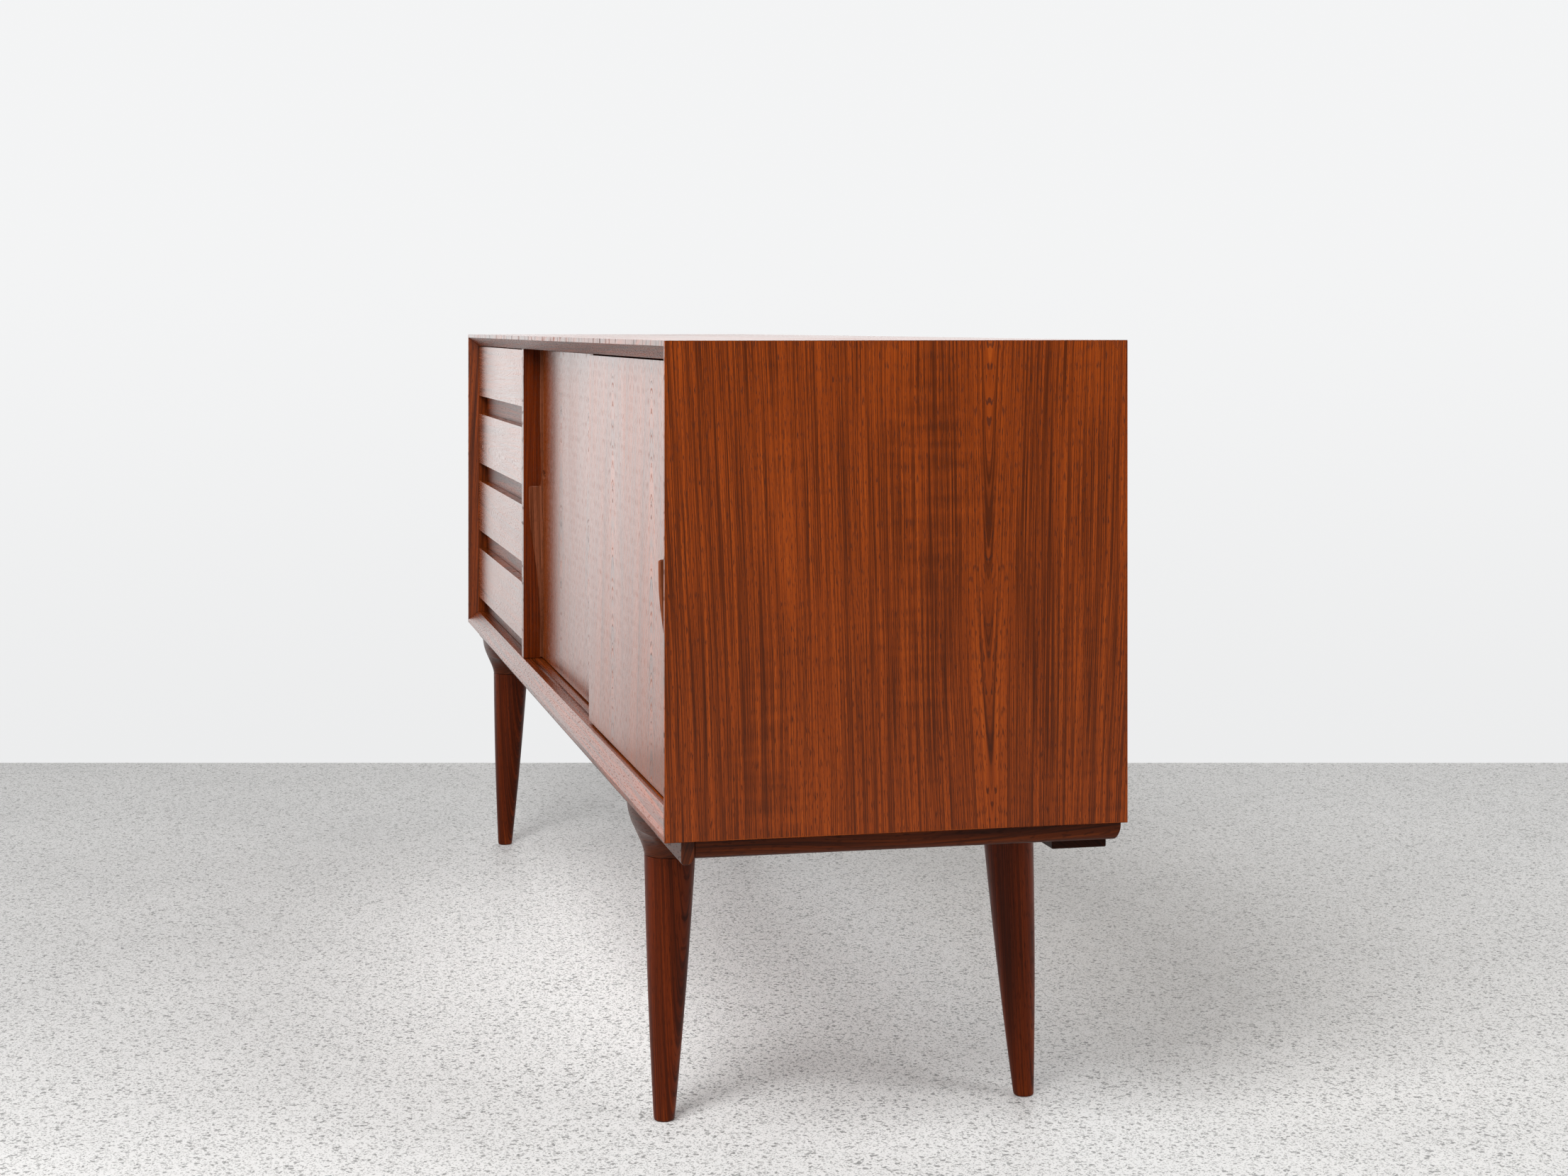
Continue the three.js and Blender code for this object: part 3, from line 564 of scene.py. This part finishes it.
def stile_section(proud):
    """(s, d) outline: s runs in from the door's outer edge, d stands out from its face. The lip is a
    blade along the outer edge, and a hollow flank joins it to the flat beside the panel."""
    arris = min(LIP_ARRIS, 0.6 * proud)
    start = (8 * MM + 0.3 * proud, STRIP_PROUD)
    hollow = (3 * MM + 0.1 * proud, STRIP_PROUD + 0.05 * proud)
    end = (arris, proud)
    flank = []
    for i in range(FLANK_STEPS + 1):
        t = i / FLANK_STEPS
        flank.append(tuple((1 - t) ** 2 * a + 2 * t * (1 - t) * b + t**2 * c
                           for a, b, c in zip(start, hollow, end)))
    corner = []
    for i in range(1, CORNER_STEPS + 1):
        angle = i / CORNER_STEPS * math.pi / 2
        corner.append((arris - arris * math.sin(angle), proud - arris + arris * math.cos(angle)))
    seam = STILE - STILE_GAP
    back = [(0.0, -DOOR_THICK), (seam, -DOOR_THICK), (seam, -0.5 * MM), (seam - 0.5 * MM, STRIP_PROUD)]
    return back + flank + corner


def stile_levels(handle_top, out):
    """(height, stand-out) of the stile's sections, from the bottom of the door to its top."""
    levels = [(DOOR_BOTTOM, STILE_PROUD)]
    for i in range(LIP_STEPS + 1):
        t = 1 - i / LIP_STEPS
        slope = LIP_SLOPE * (1 - t) ** 8
        levels.append((handle_top - t * HANDLE_LONG - slope, max(STILE_PROUD, lip_share(t) * out)))
    levels += [(handle_top - drop * MM, out - short * MM) for drop, short in LIP_EDGE]
    levels += [(handle_top + rise * MM, proud * MM) for rise, proud in ABOVE_LIP]
    levels.append((DOOR_TOP, STILE_PROUD))
    return levels


# painted shade: a near-black, dull copy of the solid teak for the door faces that sit in the shaded gaps and
# grooves
GAP_SHADE_EDGE = wood("teak_gap_shade", "X", darker(SOLID, 0.25), 19.0, gloss=0.8, shine=0.0)
GAP_SHADE_REACH = 0.2 * MM


def paint_gap_shade(piece):
    """The door's tongues and its upper and lower edges take a near-black, dull painted shade, for the shade
    in the gaps and grooves above and below the door.
    """
    piece.data.materials.append(GAP_SHADE_EDGE)
    for face in piece.data.polygons:
        if not DOOR_BOTTOM + GAP_SHADE_REACH < face.center.z < DOOR_TOP - GAP_SHADE_REACH:
            face.material_index = 1


def build_door_panel(side, face, cutter, seed):
    low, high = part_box(f"{side}_door_panel")
    section = door_section(face, (low.z, high.z))
    panel = to_object(f"{side}_door_veneer", soften(prism(section, "X", low.x, high.x), 0.4 * MM))
    carve(panel, cutter)
    tips = [(DOOR_PITH - DOOR_LEAN * z, z) for z in ARCH_TIPS]
    veneer = wood(f"veneer_{side}_door", "Z", FRONT_TONES, seed, (face + DOOR_PITH, 0.176, 0.0), DOOR_LEAN,
                  DOOR_WAVER, leaf=(low.x, low.x + DOOR_LEAF), gloss=0.20, shine=0.20, figure=1.15,
                  curl=0.0, pore=0.25, tips=tips)
    dress(panel, f"{side}_door_panel", veneer)
    paint_gap_shade(panel)


def build_stile(side, edge, inward, face, cutter, seed):
    """The solid strip down a door's outer edge, with the handle carved out of it, and its two tongues."""
    low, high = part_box(f"{side}_door_handle")
    rings = []
    for z, proud in stile_levels(HANDLE_TOP[side], HANDLE_OUT[side]):
        rings.append([(edge + inward * s, face - d, z) for s, d in stile_section(proud)])
    mesh = loft(rings)
    middle = face + DOOR_THICK / 2
    x0, x1 = sorted((edge, edge + inward * (STILE - STILE_GAP)))
    for z0, z1 in ((low.z, DOOR_BOTTOM + TONGUE_ROOT), (DOOR_TOP - TONGUE_ROOT, high.z)):
        join(mesh, block((x0, middle - TONGUE_HALF, z0), (x1, middle + TONGUE_HALF, z1)))
    stile = to_object(f"{side}_door_stile", mesh, 32.0)
    carve(stile, cutter)
    teak = wood(f"teak_{side}_stile", "Z", STILE_TONES, seed, (face + 0.05, edge, 0.0), 0.02, gloss=0.26,
                shine=0.05)
    dress(stile, f"{side}_door_handle", teak)
    paint_gap_shade(stile)


def build_door(side, inward, seed):
    """inward is the way in from the door's outer edge, along X."""
    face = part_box(f"{side}_door_panel")[0].y
    low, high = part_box(f"{side}_door_handle")
    edge = low.x if inward > 0 else high.x
    cutter = scoop_cutter(edge, inward, face, HANDLE_TOP[side])
    build_door_panel(side, face, cutter, seed)
    build_stile(side, edge, inward, face, cutter, seed + 0.5)
    bpy.data.objects.remove(cutter)


def build_doors():
    build_door("left", 1, 15.0)
    build_door("right", -1, 16.0)


# ---- base frame --------------------------------------------------------------------------------
def arc(centre, radius, start, end, steps=8):
    """Points of an arc, in degrees, as (a, b) about a centre (a, b)."""
    points = []
    for i in range(steps + 1):
        angle = math.radians(start + (end - start) * i / steps)
        points.append((centre[0] + radius * math.cos(angle), centre[1] + radius * math.sin(angle)))
    return points


def rail_section(thick, high, outer_round, inner_round):
    """(out, z) outline with its two lower edges rounded; out runs in from the outer face, z from the top."""
    outer = arc((outer_round, outer_round - high), outer_round, 180, 270)
    inner = arc((thick - inner_round, inner_round - high), inner_round, 270, 360)
    return [(0.0, 0.0)] + outer + inner + [(thick, 0.0)]


def build_front_rail():
    low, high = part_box("front_rail")
    section = rail_section(high.y - low.y, high.z - low.z, 3.5 * MM, 7.5 * MM)
    outline = [(low.y + out, high.z + z) for out, z in section]
    rail = to_object("front_rail_wood", soften(prism(outline, "X", low.x, high.x), 1.2 * MM, 3, 60))
    teak = wood("teak_front_rail", "X", FRAME, 17.0, (0.2, 0.1, 0.0), 0.01, shine=0.2)
    dress(rail, "front_rail", teak)


# The rounding of a side rail's lower back corner: along the rail, and up from its lower edge
CORNER_LONG, CORNER_DEEP, CORNER_TURNS = 5.7 * MM, 12 * MM, 10


def build_side_rail(side, outward):
    """Its lower back corner is rounded off, as seen from the side."""
    low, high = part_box(f"{side}_side_rail")
    outer = high.x if outward > 0 else low.x
    tall = high.z - low.z
    section = rail_section(high.x - low.x, tall, 6 * MM, 1.5 * MM)
    rings = [[(outer - outward * out, low.y, high.z + z) for out, z in section]]
    for i in range(CORNER_TURNS + 1):
        angle = i / CORNER_TURNS * math.pi / 2
        share = (tall - CORNER_DEEP * (1 - math.cos(angle))) / tall
        y = high.y - CORNER_LONG + CORNER_LONG * math.sin(angle)
        rings.append([(outer - outward * out, y, high.z + z * share) for out, z in section])
    rail = to_object(f"{side}_side_rail_wood", soften(loft(rings), 0.8 * MM, 2, 60))
    teak = wood(f"teak_{side}_side_rail", "Y", FRAME, 18.0 + outward * 0.5, (0.25, 0.7 * outward, 0.0),
                0.01, shine=0.12)
    dress(rail, f"{side}_side_rail", teak)


def build_rails():
    build_front_rail()
    build_side_rail("left", -1)
    build_side_rail("right", 1)
    # painted shade: the rear rail is a much darker copy of the frame's teak, standing in for the deep shade
    # at the back under the carcase
    teak = wood("teak_rear_rail_painted_shade", "X", darker(FRAME, 0.35), 20.0, (0.2, 0.1, 0.0), 0.01, gloss=0.5,
                shine=0.08)
    board("rear_rail", teak, 1.2 * MM)


# ---- shoulders and legs ------------------------------------------------------------------------
ROUND = 72  # points round a leg or a shoulder
LEVELS = 26  # steps up a leg, or up a shoulder's hollow curve
JOINT_GAP = 0.3 * MM  # between a leg's top and its shoulder
SEAM_EDGE = ((0.7, 0.0), (0.15, 0.15))  # the rounding at that joint: in from the radius, and off it, mm
SEAM_ROOM = 0.5 * MM  # the height kept for that rounding
FOOT_LEVEL, FOOT_RADIUS = 1.5 * MM, 10.5 * MM
FOOT_EDGE = ((3.2, 0.0), (1.6, 0.25), (0.55, 0.9), (0.0, 2.2))  # in from the radius, and up, mm
SWELL = 1.2 * MM  # how far a leg bulges at mid height
COVE_DROP = 2 * MM  # from the front rail's lower edge down to the top of a shoulder's hollow curve


def ring_of(node, z, slack=0.06 * MM):
    """Centre and radius of the widest ring of a CAD node's points at height z."""
    points = [v.co for v in NODES[node].data.vertices if abs(v.co.z - z) < slack]
    low = Vector((min(p.x for p in points), min(p.y for p in points)))
    high = Vector((max(p.x for p in points), max(p.y for p in points)))
    return (low + high) / 2, (high.x - low.x) / 2


def ellipse(centre, a, b, z):
    angles = [2 * math.pi * i / ROUND for i in range(ROUND)]
    return [(centre[0] + a * math.cos(t), centre[1] + b * math.sin(t), z) for t in angles]


def leg_profile(top_radius, joint):
    """(radius, height) of a leg's sections, from the floor to its joint."""
    profile = [(FOOT_RADIUS - inset * MM, rise * MM) for inset, rise in FOOT_EDGE]
    for i in range(1, LEVELS + 1):
        t = i / LEVELS
        swell = SWELL * math.sin(math.pi * t)
        profile.append((FOOT_RADIUS + (top_radius - FOOT_RADIUS) * t + swell, (joint - SEAM_ROOM) * t))
    return profile + [(top_radius - inset * MM, joint - drop * MM) for inset, drop in SEAM_EDGE[::-1]]


def build_leg(leg, top_radius, joint, seed):
    foot, _ = ring_of(leg, FOOT_LEVEL)
    top, _ = ring_of(leg, joint)
    slope = (top - foot) / (joint - FOOT_LEVEL)
    rings = [ellipse(foot + slope * (z - FOOT_LEVEL), r, r, z) for r, z in leg_profile(top_radius, joint)]
    teak = wood(f"teak_{leg}", "Z", SOLID, seed, (foot.y + 0.045, foot.x + 0.05, 0.0), 0.035, 0.6,
                gloss=0.33, shine=0.09, figure=0.5, curl=0.3, scuff=(2 * MM, 30 * MM))
    dress(to_object(f"{leg}_turned", loft(rings), 50.0), leg, teak)


def shoulder_levels(seam, top):
    """(height, flare) of a shoulder's sections: a hollow curve, then a straight part if it goes on up."""
    cove_top = min(top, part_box("front_rail")[0].z - COVE_DROP)
    levels = []
    for i in range(LEVELS + 1):
        angle = i / LEVELS * math.pi / 2
        levels.append((seam + SEAM_ROOM + math.sin(angle) * (cove_top - seam - SEAM_ROOM),
                       1 - math.cos(angle)))
    if top > cove_top + 1 * MM:
        levels += [(cove_top + (top - cove_top) * t, 1.0) for t in (0.25, 0.5, 0.75, 1.0)]
    return levels


def build_shoulder(shoulder, radius, seed):
    """Round where it meets its leg, it flares along X and leans along Y to fill its box at the top."""
    low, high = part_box(shoulder)
    seam = low.z
    centre, _ = ring_of(shoulder, seam)
    rings = [ellipse(centre, radius - inset * MM, radius - inset * MM, seam + rise * MM)
             for inset, rise in SEAM_EDGE]
    for z, flare in shoulder_levels(seam, high.z):
        share = (z - seam) / (high.z - seam)
        lean = 0.5 - 0.5 * math.cos(math.pi * share**0.8)
        front = centre.y - radius + (low.y - centre.y + radius) * lean
        back = centre.y + radius + (high.y - centre.y - radius) * lean
        half = radius + ((high.x - low.x) / 2 - radius) * flare
        rings.append(ellipse((centre.x, (front + back) / 2), half, (back - front) / 2, z))
    teak = wood(f"teak_{shoulder}", "X", FRAME, seed, (0.1, centre.y + 0.05, 0.0), 0.02, gloss=0.34,
                shine=0.14)
    dress(to_object(f"{shoulder}_carved", loft(rings), 50.0), shoulder, teak)


def build_legs():
    seed = 21.0
    for end in ("front", "rear"):
        for side in ("left", "right"):
            leg, shoulder = f"{end}_{side}_leg", f"{end}_{side}_shoulder"
            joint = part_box(shoulder)[0].z - JOINT_GAP
            _, radius = ring_of(leg, joint)
            build_leg(leg, radius, joint, seed)
            build_shoulder(shoulder, radius, seed + 0.5)
            seed += 1.0


# ---- stage, light and camera -------------------------------------------------------------------
VIEW = Vector((-0.9753, 0.2211, 0.0))  # the camera looks level, almost along the sideboard
EYE = Vector((3.2067, -0.6344, 0.7934))
SENSOR, LENS, SHIFT = 36.0, 58.50, -0.1671  # mm, mm, and a share of the picture's width
LIT = Vector((0.3, 0.0, 0.4))  # the point that both lights face
FLOOR_REACH = 1.36  # from the middle of the sideboard to the floor's far edge, along the view
FLOOR_SPAN = 9.0  # to its other edges
CONCRETE = [(0.3, (0.590, 0.586, 0.579)), (0.7, (0.640, 0.635, 0.627))]
LIT_POOL = (0.960, 0.955, 0.945)  # painted pool of light: the floor's middle is paler, standing in for the light that a white room's walls send under the sideboard
# the shape and reach of that painted pool of light
LIT_POOL_SHAPE, LIT_POOL_REACH = (0.6, 1.0, 0.0), (0.15, 0.62)
CHIP = (0.12, 0.122, 0.118)
CHIPS = ((110.0, 0.30, 0.75), (230.0, 0.36, 0.70), (470.0, 0.40, 0.65))  # per metre, size, strength


def scatter_chips(net, place, colour, per_metre, size, strength):
    """Draws one size of chip over the colour, each with a ragged outline."""
    def scaled(factor):
        return net.vector("MULTIPLY", place, (factor, factor, factor))

    bent = net.vector("ADD", scaled(per_metre), net.noise(scaled(per_metre * 2), 1.0, output=1))
    cell = net.node("ShaderNodeTexVoronoi", {"Vector": bent, "Scale": 1.0, "Randomness": 1.0})
    pick = net.split(cell.outputs["Color"])[0]
    chip = net.math("MULTIPLY", net.step(cell.outputs["Distance"], size * 0.8, size * 1.1, 1.0, 0.0),
                    net.step(pick, 0.25, 0.60))
    return net.mix(net.math("MULTIPLY", chip, strength), colour, CHIP)


def floor_material():
    """Pale ground concrete with small darker chips of stone, and a painted pool of light in its middle that
    lifts the sideboard's shadow.
    """
    material, net = new_material("pale_floor")
    place = net.node("ShaderNodeTexCoord").outputs["Object"]
    colour = net.ramp(net.noise(net.vector("MULTIPLY", place, (3.0, 3.0, 3.0)), 4.0), CONCRETE)
    off_centre = net.node("ShaderNodeVectorMath", {0: net.vector("MULTIPLY", place, LIT_POOL_SHAPE)},
                          operation="LENGTH").outputs["Value"]
    # painted light: a paler pool in the floor's middle, where the sideboard's shadow falls
    colour = net.mix(net.step(off_centre, *LIT_POOL_REACH, 1.0, 0.0), colour, LIT_POOL)
    for per_metre, size, strength in CHIPS:
        colour = scatter_chips(net, place, colour, per_metre, size, strength)
    rough = net.step(net.noise(net.vector("MULTIPLY", place, (40.0, 40.0, 40.0)), 2.0), 0.3, 0.7, 0.50, 0.62)
    finish_material(net, net.node("ShaderNodeBsdfPrincipled", {"Base Color": colour, "Roughness": rough}))
    return material


def build_floor():
    along, across = VIEW * FLOOR_REACH, Vector((-VIEW.y, VIEW.x, 0.0)) * FLOOR_SPAN
    mesh = bmesh.new()
    near = -VIEW * FLOOR_SPAN
    corners = (along + across, along - across, near - across, near + across)
    mesh.faces.new([mesh.verts.new(corner) for corner in corners])
    floor = to_object("floor", mesh)
    floor.data.materials.append(floor_material())


def build_world():
    """A white studio: bright walls beyond the sideboard, dimmer behind the camera and below."""
    world = bpy.data.worlds.new("studio")
    world.use_nodes = True
    SCENE.world = world
    net = Net(world.node_tree)
    x, _, z = net.split(net.node("ShaderNodeTexCoord").outputs["Generated"])
    wall = net.step(x, -0.2, 0.7, 1.0, 0.10)
    high = net.step(z, 0.05, 0.8, 1.75, 0.55)
    strength = net.math("MULTIPLY", wall, net.math("MULTIPLY", high, net.step(z, -0.26, 0.0, 0.34, 1.0)))
    lit = net.node("ShaderNodeBackground", {"Color": (1.0, 1.0, 1.0, 1), "Strength": strength})
    seen = net.node("ShaderNodeBackground", {"Color": (0.90, 0.905, 0.91, 1),
                                             "Strength": net.step(z, -0.2, 0.05, 0.93, 1.0)})
    camera_ray = net.node("ShaderNodeLightPath").outputs["Is Camera Ray"]
    mixed = net.node("ShaderNodeMixShader", {0: camera_ray, 1: lit.outputs[0], 2: seen.outputs[0]})
    net.node("ShaderNodeOutputWorld", {"Surface": mixed.outputs[0]})


def build_light(name, place, size, power):
    """A round soft light that shines on the sideboard's right end."""
    lamp = bpy.data.lights.new(name, "AREA")
    lamp.shape, lamp.size, lamp.energy = "DISK", size, power
    made = bpy.data.objects.new(name, lamp)
    made.location = place
    made.rotation_euler = (LIT - Vector(place)).to_track_quat("-Z", "Y").to_euler()
    SCENE.collection.objects.link(made)


def build_camera():
    lens = bpy.data.cameras.new("camera")
    lens.sensor_width, lens.lens, lens.shift_y = SENSOR, LENS, SHIFT
    made = bpy.data.objects.new("camera", lens)
    made.location = EYE
    made.rotation_euler = (math.pi / 2, 0.0, math.atan2(-VIEW.x, VIEW.y))
    SCENE.collection.objects.link(made)
    SCENE.camera = made


build_gables()
build_top_and_bottom()
build_inside()
build_drawers()
build_doors()
build_rails()
build_legs()
build_floor()
build_world()
build_light("key", (2.4, -1.5, 2.7), 1.8, 128.0)
build_light("fill", (3.0, 3.0, 2.8), 2.4, 75.0)
build_camera()
SCENE.view_settings.view_transform = "Standard"
